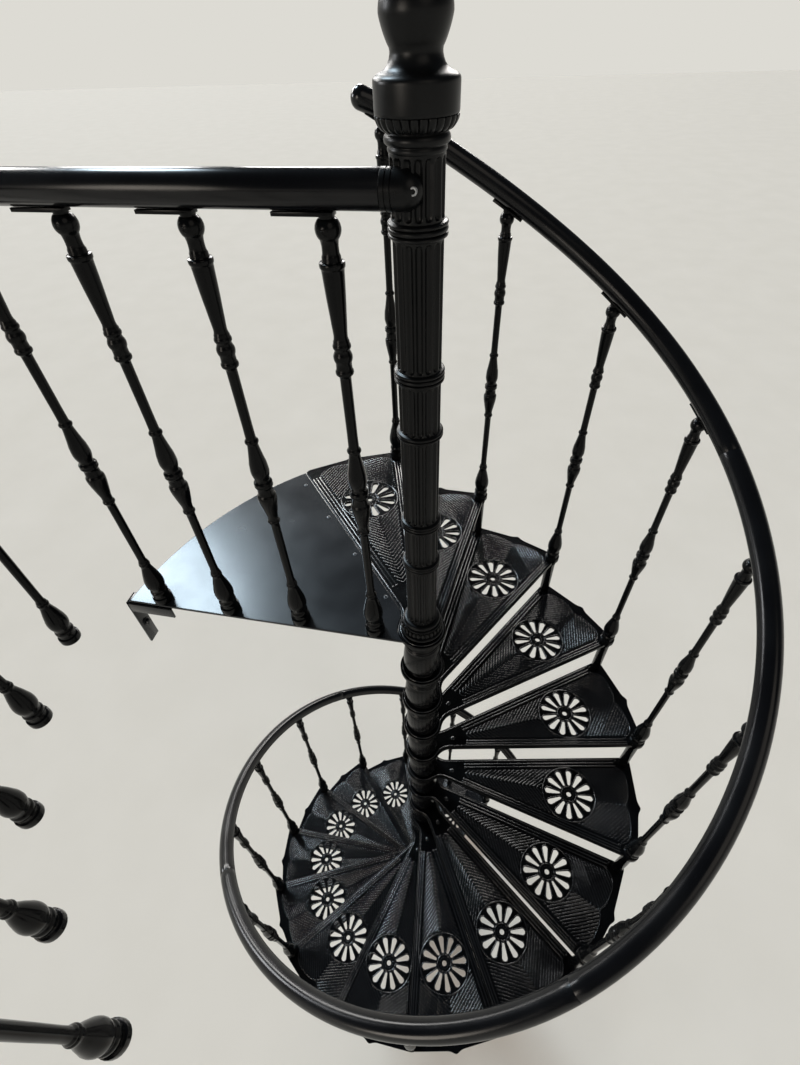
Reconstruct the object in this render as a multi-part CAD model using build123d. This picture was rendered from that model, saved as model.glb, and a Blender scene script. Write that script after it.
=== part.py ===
from build123d import *
import os
from math import atan2, cos, degrees, radians, sin, sqrt, tan

# Spiral staircase in cast iron and steel, millimetres, Z up.
# The origin is on the floor at the column's centre. The landing's open edge runs along -X.

# Flight
rise = 190.0                      # from one tread to the next
tread_count = 17                  # treads below the landing
step_angle = 23.8                 # degrees, going down clockwise
landing_azimuth = 118.2           # centre line of the tread at landing level
half_step = step_angle / 2
landing_level = rise * (tread_count + 1)

# Tread casting
tread_radius = 822.0              # outer edge, at the corners
tread_edge_sag = 4.0              # how far the two outer arcs fall short of a full circle
tread_cusp = 8.0                  # point where the two outer arcs meet
tread_cusp_width = 24.0
tread_plate = 7.0
tread_lip_depth = 14.0
tread_lip_width = 8.0
rear_lap = 20.0                   # rear edge beyond its radial line
front_lap = 13.0                  # nose beyond its radial line
corner_round = 16.0
root_round = 60.0                 # scotia between the long edges and the hub
root_radius = 66.0
boss_radius = 21.0                # under the front corner, where the baluster is bolted down

# Rosette of petal slots
rosette_radius = 568.0            # from the column's centre
petal_count = 12
petal_inner = 33.0
petal_outer = 87.0
petal_inner_width = 9.0
petal_outer_width = 21.0
rosette_hole = 9.0
rosette_rings = (27.0, 98.0)      # raised rings inside and outside the petals
rosette_ring_width = 5.0

# Raised ridges of the tread, along both long edges
relief_height = 1.6
ridge_width = 4.4
border_ridge_inset = 8.2          # this one runs on round the hub
rear_ridge_insets = (20.5, 32.3)
front_ridge_insets = (15.9, 25.8)
ridge_start = 168.0
ridge_end = 760.0

# Column and hubs
tube_radius = 30.0
tube_wall = 5.0
hub_clearance = 0.5
hub_proud = 12.0                  # hub above the tread
hub_radius = 46.0
hub_ring_radius = 50.0
hub_ring_height = 10.0
hub_ring_lift = 12.0              # ring above the barrel
hub_barrel_radius = 55.0
hub_barrel_height = 98.0
hub_belly_height = 44.0           # the barrel's widest place, from its lower end
base_thickness = hub_proud        # the lowest hub stands on the base plate
base_radius = 110.0
base_bolt_radius = 6.5
base_bolt_circle = 85.0
base_bolt_count = 4

# Newel, heights from the landing
newel_foot_radius = 57.0
newel_foot_height = 54.0
newel_radius = 38.0
newel_collar_radius = 44.0
newel_collar_height = 22.0
newel_collar_band = 8.0
newel_collars = (282.0, 412.0, 644.0, 763.0)
head_collar_drop = 93.0           # top collar, below the head
flute_count = 16
flute_width = 9.0
flute_depth = 3.0
finial_knob_radius = 13.0
finial_knob_height = 10.0

# Handrails
rail_radius = 25.5
spiral_rail_height = 1046.0       # centre of the tube above each tread's nose
landing_rail_drop = 5.0           # the level rails' centre is this much lower
landing_rail_height = spiral_rail_height - landing_rail_drop
rail_piece_count = 5
rail_bend_count = 3               # arcs in each piece
rail_gap = 0.4                    # butt joints
rail_lead_in = 0.16               # steps beyond the first and last balusters
rail_lead_out = 0.36
rail_end_length = 44.0            # socket of the end casting, from the newel's axis
rail_end_setback = 11.0           # its round nose, from the newel's axis
rail_end_step = 0.5
saddle_gap = 0.3

# Head of the newel, from its base up
head_base = landing_rail_height + 41.0
head_ring_base = head_base + 10.0
head_ring_top = head_base + 22.0
head_drum_base = head_base + 42.0
head_drum_top = head_base + 69.0
head_drum_radius = 55.0
tube_top = head_base + 58.0       # the column tube ends inside the head
finial_neck_base = head_base + 87.0
finial_neck_radius = 30.0
finial_ball_centre = head_base + 132.0
finial_ball_radius = 44.0

# Balusters
baluster_inset = 28.0             # from the tread's outer edge
baluster_circle = tread_radius - baluster_inset
ball_radius = 18.5
ball_drop = 54.0                  # ball centre below the spiral rail's
ball_height = spiral_rail_height - ball_drop
socket_radius = 12.8
strip_length = 92.0
strip_width = 20.0
strip_thickness = 4.0
strip_gap = 0.4
strip_overhang = 12.0             # short end of the level strips
spacer_radius = 18.0
spacer_foot_radius = 26.0
spacer_foot_height = 6.0

# Landing plate
plate_thickness = 8.0
plate_edge = -52.0                # open edge, measured along Y
plate_outer = 813.0               # round edge, at the joint with the cast tread
plate_bulge = 824.0               # and further on
plate_bulge_azimuth = 156.0
plate_corner_x = -866.0
plate_joint = 0.4                 # gap to the cast tread

# Row of balusters along the landing's open edge
baluster_line = plate_edge + 25.0
landing_baluster_first = 126.0
landing_baluster_pitch = 214.0
landing_baluster_count = int((-plate_corner_x - landing_baluster_first) // landing_baluster_pitch) + 1

# Guard round the stair well, on the upper floor
guard_radius = 978.0
guard_first = -168.2
guard_pitch = 14.0
guard_bays = 6
guard_corner = 150.0
guard_overrun = 2.0               # degrees of rail past the last guard baluster

# Flat bar under the joint of plate and cast tread, which the joint's screws bite into
ledge_start = 130.0
ledge_inset = 23.0                # from the plate's round edge
ledge_width = 40.0
ledge_thickness = 6.0

# Bracket at the landing's corner
bracket_iron = 6.0
bracket_leg = 42.0
bracket_inset = 131.0             # along the edge, from the plate's corner
bracket_overhang = 14.0           # past the plate's corner
bracket_lip = 4.0                 # in front of the plate's edge
bracket_drop = 200.0
bracket_width = 40.0
bracket_bolt_radius = 5.5
bracket_bolt_drop = 120.0
bracket_bolt_inset = 22.0

node_groups = ("upper", "middle", "lower")
rail_slope = degrees(atan2(rise, baluster_circle * radians(step_angle)))


def polar(radius, azimuth):
    return Vector(radius * cos(radians(azimuth)), radius * sin(radians(azimuth)))


def turned(points):
    # Solid of revolution about Z from (radius, height) points
    return revolve(Plane.XZ * make_face(Polyline(*points, close=True)), Axis.Z)


def tread_azimuth(index):
    return landing_azimuth - index * step_angle


def nose_azimuth(index):
    # Radial line of a tread's front edge, which carries the baluster
    return tread_azimuth(index) - half_step


def tread_level(index):
    return landing_level - index * rise


def edge_point(radius, side, lap):
    # A point of a long edge: parallel to the radial line at side * half_step, lap beyond it
    along = sqrt(radius ** 2 - lap ** 2)
    turn = radians(side * half_step)
    return Vector(along * cos(turn) - side * lap * sin(turn), along * sin(turn) + side * lap * cos(turn))


def tread_plan(inset=0.0):
    # Outline of the casting, or the same outline drawn in on all sides
    outer = tread_radius - inset
    root = root_radius - inset
    rear_root = edge_point(root, 1, rear_lap - inset)
    front_root = edge_point(root, -1, front_lap - inset)
    rear_tip = edge_point(outer, 1, rear_lap - inset)
    front_tip = edge_point(outer, -1, front_lap - inset)
    cusp_half = tread_cusp_width / 2
    cusp_front = Vector(outer, -cusp_half)
    cusp_rear = Vector(outer, cusp_half)
    cusp = Vector(outer + tread_cusp, 0)
    front_middle = polar(outer - tread_edge_sag, -half_step / 2)
    rear_middle = polar(outer - tread_edge_sag, half_step / 2)
    border = [
        Line(front_root, front_tip),
        ThreePointArc(front_tip, front_middle, cusp_front),
        Line(cusp_front, cusp),
        Line(cusp, cusp_rear),
        ThreePointArc(cusp_rear, rear_middle, rear_tip),
        Line(rear_tip, rear_root),
        Line(rear_root, front_root),
    ]
    wedge = make_face(border)
    tips = [v for v in wedge.vertices() if v.X > outer / 2 and abs(v.Y) > tread_cusp_width]
    plan = fillet(tips, corner_round - inset) + Circle(root)
    roots = [v for v in plan.vertices() if 0 < v.X < root * 1.5]
    return fillet(roots, root_round + inset)


def petal():
    inner_half = petal_inner_width / 2
    outer_half = petal_outer_width / 2
    tip_half = outer_half * 0.45
    shoulder = petal_outer - outer_half * 0.7
    points = [
        (petal_inner, -inner_half), (shoulder, -outer_half), (petal_outer, -tip_half),
        (petal_outer, tip_half), (shoulder, outer_half), (petal_inner, inner_half),
    ]
    return make_face(Polyline(*points, close=True))


def tread_relief():
    # Ridges along the long edges, the border ridge round the hub, and the rosette's two rings
    half = ridge_width / 2
    border = tread_plan(border_ridge_inset - half) - tread_plan(border_ridge_inset + half)
    plan = border & Circle(ridge_end)
    length = ridge_end - ridge_start
    for side, lap, insets in ((1, rear_lap, rear_ridge_insets), (-1, front_lap, front_ridge_insets)):
        for inset in insets:
            at = Rot(0, 0, side * half_step) * Pos(ridge_start + length / 2, side * (lap - inset))
            plan += at * Rectangle(length, ridge_width)
    half = rosette_ring_width / 2
    for radius in rosette_rings:
        plan += Pos(rosette_radius, 0) * (Circle(radius + half) - Circle(radius - half))
    return extrude(plan, relief_height)


def make_tread():
    # Plate with rosette and relief, the lip round its edge, the boss and the stacked hub, in one casting
    plan = tread_plan()
    slots = PolarLocations(0, petal_count) * petal()
    rosette = Pos(rosette_radius, 0) * (Sketch() + slots + Circle(rosette_hole))
    plate = extrude(plan - rosette, -tread_plate)
    nose = polar(baluster_circle, -half_step)
    boss = Pos(nose.X, nose.Y) * Circle(boss_radius) & plan
    border = plan - tread_plan(tread_lip_width) + boss
    lip = extrude(Pos(0, 0, -tread_plate) * border, tread_plate - tread_lip_depth)
    bottom = hub_proud - rise
    barrel_top = bottom + hub_barrel_height
    ring_base = barrel_top + hub_ring_lift
    ring_top = ring_base + hub_ring_height
    bore = tube_radius + hub_clearance
    hub = turned([
        (bore, hub_proud), (hub_radius, hub_proud), (hub_radius, ring_top), (hub_ring_radius, ring_top),
        (hub_ring_radius, ring_base), (hub_radius, ring_base), (hub_radius, barrel_top),
        (hub_barrel_radius, bottom + hub_belly_height), (hub_ring_radius, bottom), (bore, bottom),
    ])
    return plate + tread_relief() + lip + hub - Cylinder(bore, rise * 3)


def make_base_plate():
    bolts = PolarLocations(base_bolt_circle, base_bolt_count, start_angle=45) * Circle(base_bolt_radius)
    return extrude(Circle(base_radius) - bolts, base_thickness)


def make_column_tube():
    height = landing_level + tube_top - base_thickness
    tube = extrude(Circle(tube_radius) - Circle(tube_radius - tube_wall), height)
    return Pos(0, 0, base_thickness) * tube


def flute_plan():
    # Sharp arrises between shallow flutes
    outline = []
    pitch = 360 / flute_count
    half = degrees(flute_width / newel_radius) / 2
    floor = newel_radius - flute_depth
    for middle in [pitch * k for k in range(flute_count)]:
        outline += [polar(newel_radius, middle - half), polar(floor, middle - half / 2)]
        outline += [polar(floor, middle + half / 2), polar(newel_radius, middle + half)]
    return make_face(Polyline(*outline, close=True)) - Circle(tube_radius + hub_clearance)


def make_newel_foot():
    bore = tube_radius + hub_clearance
    top = hub_proud + newel_foot_height
    return turned([
        (bore, hub_proud), (newel_foot_radius, hub_proud), (newel_foot_radius, hub_proud + 8),
        (newel_foot_radius - 3, hub_proud + 26), (newel_collar_radius + 2, hub_proud + 34),
        (newel_collar_radius + 4, hub_proud + 42), (newel_collar_radius, top), (bore, top),
    ])


def make_newel_collar():
    bore = tube_radius + hub_clearance
    half = newel_collar_height / 2
    band = newel_collar_band / 2
    edge = newel_radius + 1
    return turned([
        (bore, -half), (edge, -half), (newel_collar_radius, -band), (newel_collar_radius, band),
        (edge, half), (bore, half),
    ])


def make_newel_head():
    bore = tube_radius + hub_clearance
    ring = newel_collar_radius
    edge = newel_radius + 1
    return turned([
        (bore, head_base), (edge, head_base), (edge, head_ring_base), (ring, head_ring_base),
        (ring, head_ring_top), (head_drum_radius - 3, head_drum_base - 3),
        (head_drum_radius, head_drum_base), (head_drum_radius, head_drum_top - 4),
        (head_drum_radius - 5, head_drum_top), (finial_neck_radius + 6, finial_neck_base - 8),
        (finial_neck_radius, finial_neck_base), (0, finial_neck_base), (0, tube_top), (bore, tube_top),
    ])


def make_finial():
    on_base = (Align.CENTER, Align.CENTER, Align.MIN)
    stem = Cylinder(finial_neck_radius, finial_ball_centre - finial_neck_base, align=on_base)
    ball_top = finial_ball_centre + sqrt(finial_ball_radius ** 2 - finial_knob_radius ** 2)
    knob = Cylinder(finial_knob_radius, ball_top + finial_knob_height - finial_ball_centre, align=on_base)
    ball = Sphere(finial_ball_radius)
    return Pos(0, 0, finial_neck_base) * stem + Pos(0, 0, finial_ball_centre) * (ball + knob)


def make_newel():
    newel = Pos(0, 0, hub_proud) * extrude(flute_plan(), head_base - hub_proud)
    newel += make_newel_foot()
    for height in (*newel_collars, head_base - head_collar_drop):
        newel += Pos(0, 0, height) * make_newel_collar()
    return Pos(0, 0, landing_level) * (newel + make_newel_head() + make_finial())


def helix_point(step):
    # Centre of the handrail, step counted down from the landing's first baluster
    at = polar(baluster_circle, nose_azimuth(step))
    return Vector(at.X, at.Y, tread_level(step) + spiral_rail_height)


def make_tube(path):
    section = Plane(origin=path @ 0, z_dir=path % 0) * Circle(rail_radius)
    return sweep(section, path=path, transition=Transition.RIGHT)


def make_spiral_rails():
    # Equal pieces of tube, each bent to a few arcs that follow the helix
    share = (tread_count + rail_lead_in + rail_lead_out) / rail_piece_count
    trim = rail_gap / 2 * cos(radians(rail_slope)) / (baluster_circle * radians(step_angle))
    part = (share - 2 * trim) / (2 * rail_bend_count)
    rails = []
    for piece in range(rail_piece_count):
        top = piece * share + trim - rail_lead_in
        marks = [helix_point(top + n * part) for n in range(2 * rail_bend_count + 1)]
        arcs = [ThreePointArc(*marks[2 * n:2 * n + 3]) for n in range(rail_bend_count)]
        rails.append(make_tube(Wire(arcs)))
    return rails


def guard_corner_arc():
    # Start, middle and end of the bend from the landing rail's line into the guard's circle
    reach = guard_radius - guard_corner
    y = baluster_line - guard_corner
    centre = Vector(-sqrt(reach ** 2 - y ** 2), y)
    outward = centre.normalized()
    halfway = (Vector(0, 1) + outward).normalized()
    return Vector(centre.X, baluster_line), centre + halfway * guard_corner, outward * guard_radius


def make_rail_end():
    # End casting of the landing rail, saddled against the newel
    radius = rail_radius + rail_end_step
    on_base = (Align.CENTER, Align.CENTER, Align.MIN)
    socket = Rot(0, -90, 0) * Cylinder(radius, rail_end_length - rail_end_setback, align=on_base)
    end = Pos(-rail_end_setback, baluster_line, landing_rail_height) * (socket + Sphere(radius))
    end -= Cylinder(newel_radius + saddle_gap, landing_level * 2)
    return Pos(0, 0, landing_level) * end


def make_landing_rail():
    start, _, _ = guard_corner_arc()
    height = landing_level + landing_rail_height
    plane = Plane(origin=(-rail_end_length, baluster_line, height), z_dir=(-1, 0, 0))
    return extrude(plane * Circle(rail_radius), -start.X - rail_end_length)


def make_guard_rail():
    start, middle, tangent = guard_corner_arc()
    last = guard_first + guard_bays * guard_pitch
    end = polar(guard_radius, last + guard_overrun)
    corner = make_tube(ThreePointArc(start, middle, tangent))
    ring = make_tube(ThreePointArc(tangent, polar(guard_radius, (guard_first + last) / 2), end))
    return Pos(0, 0, landing_level + landing_rail_height) * (corner + ring)


def make_baluster(rail_height, slope, strip_shift):
    # Turned post with its ball, and the strip that seats the rail on the ball's neck
    outline = [
        (0, 0), (26.5, 0), (26.5, 22), (21.0, 22), (21.0, 48), (25.8, 78), (13.5, 148),
        (13.5, 160), (10.2, 160), (10.2, 386), (21.0, 456), (17.0, 472), (20.0, 484),
        (20.0, 502), (16.0, 506), (20.0, 530), (12.0, 594), (14.0, 598), (14.0, 610),
        (10.2, 610),
    ]
    crown = [
        (10.2, -226), (15.5, -226), (15.5, -166), (12.0, -166), (17.8, -52),
        (19.2, -52), (19.2, -40), (socket_radius, -40),
    ]
    outline += [(radius, ball_height + height) for radius, height in crown]
    slant = radians(slope)
    seat_height = rail_height - (rail_radius + strip_thickness / 2 + strip_gap) / cos(slant)
    neck_top = seat_height + socket_radius * tan(slant)
    outline += [(socket_radius, neck_top), (0, neck_top)]
    body = turned(outline) + Pos(0, 0, ball_height) * Sphere(ball_radius)
    seat = Pos(0, 0, seat_height) * Rot(slope, 0, 0)
    above = Box(strip_length, strip_length, strip_length, align=(Align.CENTER, Align.CENTER, Align.MIN))
    strip = Pos(0, strip_shift, 0) * Box(strip_width, strip_length, strip_thickness)
    return body - seat * above + seat * strip


def make_spiral_baluster(index):
    at = Rot(0, 0, nose_azimuth(index)) * Pos(baluster_circle, 0)
    return Pos(0, 0, tread_level(index)) * at * make_baluster(spiral_rail_height, rail_slope, 0)


def level_baluster(x, y, azimuth):
    baluster = make_baluster(landing_rail_height, 0, strip_length / 2 - strip_overhang)
    return Pos(x, y, landing_level) * Rot(0, 0, azimuth) * baluster


def make_landing_balusters():
    places = [landing_baluster_first + k * landing_baluster_pitch for k in range(landing_baluster_count)]
    return [level_baluster(-x, baluster_line, 90) for x in places]


def make_guard_balusters():
    azimuths = [guard_first + k * guard_pitch for k in range(guard_bays + 1)]
    feet = [(polar(guard_radius, azimuth), azimuth) for azimuth in azimuths]
    return [level_baluster(foot.X, foot.Y, azimuth) for foot, azimuth in feet]


def make_spacer(index):
    # Post between a tread's front corner and the next tread's rear corner, or the floor
    height = rise - tread_lip_depth
    at = polar(baluster_circle, nose_azimuth(index))
    post = extrude(Circle(spacer_radius), height)
    if index == tread_count:
        post += extrude(Circle(spacer_foot_radius), spacer_foot_height)
    return Pos(at.X, at.Y, tread_level(index + 1)) * post


def make_landing_plate():
    joint = landing_azimuth + half_step
    along = polar(1, joint)
    across = polar(1, joint + 90)
    lap = rear_lap + plate_joint
    inner = along * root_radius * 0.9 + across * lap
    outer = along * sqrt(plate_outer ** 2 - lap ** 2) + across * lap
    corner = Vector(plate_corner_x, plate_edge)
    at_column = Vector(-root_radius * 0.3, plate_edge)
    border = [
        Line(inner, outer),
        ThreePointArc(outer, polar(plate_bulge, plate_bulge_azimuth), corner),
        Line(corner, at_column),
        Line(at_column, inner),
    ]
    cast_tread = Rot(0, 0, landing_azimuth) * tread_plan(-plate_joint)
    plan = (make_face(border) - cast_tread).faces().sort_by(SortBy.AREA)[-1]
    return extrude(Pos(0, 0, landing_level) * plan, -plate_thickness)


def make_landing_ledge():
    length = plate_outer - ledge_inset - ledge_start
    across = rear_lap + plate_joint + ledge_width / 2
    bar = Box(length, ledge_width, ledge_thickness, align=(Align.MIN, Align.CENTER, Align.MAX))
    under = Pos(0, 0, landing_level - plate_thickness) * Rot(0, 0, landing_azimuth + half_step)
    return under * Pos(ledge_start, across, 0) * bar


def make_corner_bracket():
    end = plate_corner_x - bracket_overhang
    front = plate_edge - bracket_lip
    length = bracket_inset + bracket_overhang
    corner = (Align.MIN, Align.MIN, Align.MAX)
    iron = Box(length, bracket_leg, bracket_iron, align=corner)
    iron += Box(length, bracket_iron, bracket_leg, align=corner)
    iron += Box(bracket_iron, bracket_width, bracket_drop, align=corner)
    bolt = Pos(0, bracket_bolt_inset, -bracket_bolt_drop) * Rot(0, 90, 0)
    iron -= bolt * Cylinder(bracket_bolt_radius, bracket_iron * 3)
    return Pos(end, front, landing_level - plate_thickness) * iron


def save(name, shape):
    solids = shape if isinstance(shape, list) else [shape]
    export_step(Compound(children=solids), f"parts/{name}.step")


os.makedirs("parts", exist_ok=True)
save("base_plate", make_base_plate())
save("column_tube", make_column_tube())
save("newel", make_newel())

tread = make_tread()
for index in range(tread_count + 1):
    name = f"tread_{index:02d}" if index else "landing_tread"
    save(name, Pos(0, 0, tread_level(index)) * Rot(0, 0, tread_azimuth(index)) * tread)

for number, rail in enumerate(make_spiral_rails(), 1):
    save(f"spiral_rail_{number}", rail)
save("landing_rail_end", make_rail_end())
save("landing_rail", make_landing_rail())
save("guard_rail", make_guard_rail())

group_size = -(-(tread_count + 1) // len(node_groups))
for k, group in enumerate(node_groups):
    indices = range(k * group_size, min((k + 1) * group_size, tread_count + 1))
    save(f"spiral_balusters_{group}", [make_spiral_baluster(index) for index in indices])
    save(f"tread_spacers_{group}", [make_spacer(index) for index in indices])
save("landing_balusters", make_landing_balusters())
save("guard_balusters", make_guard_balusters())

save("landing_plate", make_landing_plate())
save("landing_ledge", make_landing_ledge())
save("corner_bracket", make_corner_bracket())
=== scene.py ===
from math import asin, atan2, cos, degrees, exp, hypot, pi, radians, sin, sqrt, tan

import bmesh
import bpy
from mathutils import Matrix, Vector


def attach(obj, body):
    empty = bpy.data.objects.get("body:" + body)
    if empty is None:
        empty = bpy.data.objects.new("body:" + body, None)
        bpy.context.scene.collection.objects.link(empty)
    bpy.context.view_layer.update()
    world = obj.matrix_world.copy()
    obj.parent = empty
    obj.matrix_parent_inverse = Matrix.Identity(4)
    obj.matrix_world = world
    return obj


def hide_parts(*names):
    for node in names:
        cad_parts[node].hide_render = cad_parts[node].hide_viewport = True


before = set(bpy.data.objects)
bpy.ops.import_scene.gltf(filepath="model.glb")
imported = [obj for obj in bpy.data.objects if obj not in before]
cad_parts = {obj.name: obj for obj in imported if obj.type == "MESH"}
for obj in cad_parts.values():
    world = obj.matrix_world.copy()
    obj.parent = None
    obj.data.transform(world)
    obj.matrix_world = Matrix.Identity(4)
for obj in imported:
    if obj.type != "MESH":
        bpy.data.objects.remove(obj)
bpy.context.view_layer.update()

scene = bpy.context.scene

# All lengths are millimetres until a piece is finished, then metres.
stair = {
    "rise": 190.0,
    "treadCount": 17,  # below the landing
    "stepAngle": 23.8,  # degrees, going down clockwise
    "landingAzimuth": 118.2,
    "postCircle": 794.0,  # balusters, spacers and handrail
    "railHeight": 1046.0,  # tube centre above each nose
    "levelRailHeight": 1041.0,
}
halfStep = stair["stepAngle"] / 2
landingLevel = stair["rise"] * (stair["treadCount"] + 1)
railSlope = atan2(stair["rise"], stair["postCircle"] * radians(stair["stepAngle"]))


def treadAzimuth(index):
    return stair["landingAzimuth"] - index * stair["stepAngle"]


def noseAzimuth(index):
    return treadAzimuth(index) - halfStep


def treadLevel(index):
    return landingLevel - index * stair["rise"]


def polar(radius, azimuth, height=0.0):
    return Vector((radius * cos(radians(azimuth)), radius * sin(radians(azimuth)), height))


def place(x=0.0, y=0.0, z=0.0, azimuth=0.0):
    return Matrix.Translation((x, y, z)) @ Matrix.Rotation(radians(azimuth), 4, "Z")


def stand(radius, azimuth, height):
    # Place on a circle round the column, turned to face outwards
    return place(*polar(radius, azimuth, height), azimuth)


# Mesh helpers

def grow(bm, loops, closed=False, caps=True):
    # One ring of edges extruded from loop to loop; returns the first and the last ring
    tag = bm.verts.layers.int.get("tag") or bm.verts.layers.int.new("tag")
    verts = [bm.verts.new(point) for point in loops[0]]
    for n, vert in enumerate(verts):
        vert[tag] = n
    first = [bm.edges.new((verts[n - 1], verts[n])) for n in range(len(verts))]
    edges, start = first, list(verts)
    for points in loops[1:]:
        grown = bmesh.ops.extrude_edge_only(bm, edges=edges)["geom"]
        verts = [g for g in grown if isinstance(g, bmesh.types.BMVert)]
        edges = [g for g in grown if isinstance(g, bmesh.types.BMEdge)]
        for vert in verts:
            vert.co = points[vert[tag]]
    if closed:
        bmesh.ops.remove_doubles(bm, verts=start + verts, dist=0.001)
    elif caps:
        bmesh.ops.contextual_create(bm, geom=first)
        bmesh.ops.contextual_create(bm, geom=edges)
    return first, edges


def sweep(bm, path, profile, closed=False, tip=0.0):
    # Profile points (across, up) carried along a path; tip rounds the ends off
    count = len(path)
    loops = []
    for n, point in enumerate(path):
        after = path[(n + 1) % count] if closed or n + 1 < count else None
        before = path[n - 1] if closed or n else None
        ahead = (after - point).normalized() if after else (point - before).normalized()
        behind = (point - before).normalized() if before else ahead
        along = (ahead + behind).normalized()
        across = along.cross(Vector((0, 0, 1))).normalized()
        up = across.cross(along)
        mitre = 1 / max(0.5, along.dot(ahead))  # not stretched further at sharp bends
        loops.append([point + across * (a * mitre) + up * u for a, u in profile])
        if tip and n in (0, count - 1):
            way = -along if n == 0 else along
            rounds = []
            for turn in (30, 58, 80):  # degrees round the end
                size, reach = cos(radians(turn)), tip * sin(radians(turn))
                end = point + way * reach
                rounds.append([end + across * (a * size) + up * (u * size) for a, u in profile])
            loops = rounds[::-1] + loops if n == 0 else loops + rounds
    if closed:
        loops.append(loops[0])
    grow(bm, loops, closed)


def halfRound(width, height, sunk=0.3):
    # Cross-section of a cast ridge, its foot sunk into the plate
    dome = [(-0.43, 0.5), (-0.24, 0.87), (0.0, 1.0), (0.24, 0.87), (0.43, 0.5)]
    return [(-width / 2, -sunk)] + [(a * width, u * height) for a, u in dome] + [(width / 2, -sunk)]


def circle(radius, sides):
    return [(radius * cos(2 * pi * n / sides), radius * sin(2 * pi * n / sides)) for n in range(sides)]


def turned(outline, steps):
    # Solid of revolution about Z from (radius, height) points
    bm = bmesh.new()
    verts = [bm.verts.new((radius, 0, height)) for radius, height in outline]
    edges = [bm.edges.new(pair) for pair in zip(verts, verts[1:])]
    bmesh.ops.spin(bm, geom=verts + edges, axis=(0, 0, 1), cent=(0, 0, 0), angle=2 * pi,
                   steps=steps, use_merge=True)
    bmesh.ops.remove_doubles(bm, verts=bm.verts, dist=0.001)
    bmesh.ops.recalc_face_normals(bm, faces=bm.faces)
    return bm


def bead(bm, spot, width, height, length=0.0, around=8, rings=4):
    # A low dome, or a longer one along X
    part = bmesh.new()
    bmesh.ops.create_uvsphere(part, u_segments=around, v_segments=rings, radius=1)
    bmesh.ops.scale(part, vec=((length or width) / 2, width / 2, height), verts=part.verts)
    gather(bm, part, Matrix.Translation(spot))


def gather(target, part, *places):
    # Copies of a finished part, each at its place
    mesh = bpy.data.meshes.new("part")
    part.to_mesh(mesh)
    for at in places or (Matrix(),):
        copy = mesh.copy()
        copy.transform(at)
        target.from_mesh(copy)
        bpy.data.meshes.remove(copy)
    bpy.data.meshes.remove(mesh)


def easeEdges(bm, width):
    bmesh.ops.bevel(bm, geom=bm.edges, offset=width, affect="EDGES", segments=2, profile=0.5, material=-1)


def block(size, ease):
    # Bar with eased edges, centred
    bm = bmesh.new()
    bmesh.ops.create_cube(bm, size=1)
    bmesh.ops.scale(bm, vec=size, verts=bm.verts)
    easeEdges(bm, ease)
    return bm


def hexagonHead(radius, height, ease):
    bm = bmesh.new()
    bmesh.ops.create_cone(bm, cap_ends=True, segments=6, radius1=radius, radius2=radius, depth=height)
    easeEdges(bm, ease)
    return bm


def fillFaces(bm, top, under):
    # Top and underside within their rings of edges
    bmesh.ops.triangle_fill(bm, edges=top, use_beauty=True, normal=(0, 0, 1))
    bmesh.ops.triangle_fill(bm, edges=under, use_beauty=True, normal=(0, 0, -1))
    bmesh.ops.recalc_face_normals(bm, faces=bm.faces)


def finishPiece(node, detail, bm, material, smooth=38, replaces=True):
    # A piece named for its node and its detail; it takes the node's place, or is added to it
    name = f"{node}_{detail}"
    bmesh.ops.scale(bm, vec=(0.001, 0.001, 0.001), verts=bm.verts)  # millimetres to metres
    mesh = bpy.data.meshes.new(name)
    bm.to_mesh(mesh)
    bm.free()
    for layer in [a for a in mesh.attributes if a.name == "tag"]:
        mesh.attributes.remove(layer)
    mesh.shade_smooth()
    mesh.set_sharp_from_angle(angle=radians(smooth))
    mesh.materials.append(material)
    piece = bpy.data.objects.new(name, mesh)
    scene.collection.objects.link(piece)
    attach(piece, "root")
    if replaces:
        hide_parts(node)


# Materials

noiseSpan = {"From Min": 0.3, "From Max": 0.7}  # most of a noise's values
toneSpan = (0.35, 0.7)


def linear(code):
    # sRGB hex to the linear colour the shader wants
    parts = [int(code[n:n + 2], 16) / 255 for n in (1, 3, 5)]
    return [c / 12.92 if c <= 0.04045 else ((c + 0.055) / 1.055) ** 2.4 for c in parts] + [1.0]


def addNode(tree, kind, settings, links=()):
    # A node with its settings (properties or input sockets) and its incoming links
    node = tree.nodes.new("ShaderNode" + kind)
    for key, value in settings.items():
        if isinstance(key, str) and hasattr(node, key):
            setattr(node, key, value)
        else:
            node.inputs[key].default_value = value
    for socket, source in dict(links).items():
        tree.links.new(source, node.inputs[socket])
    return node


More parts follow.
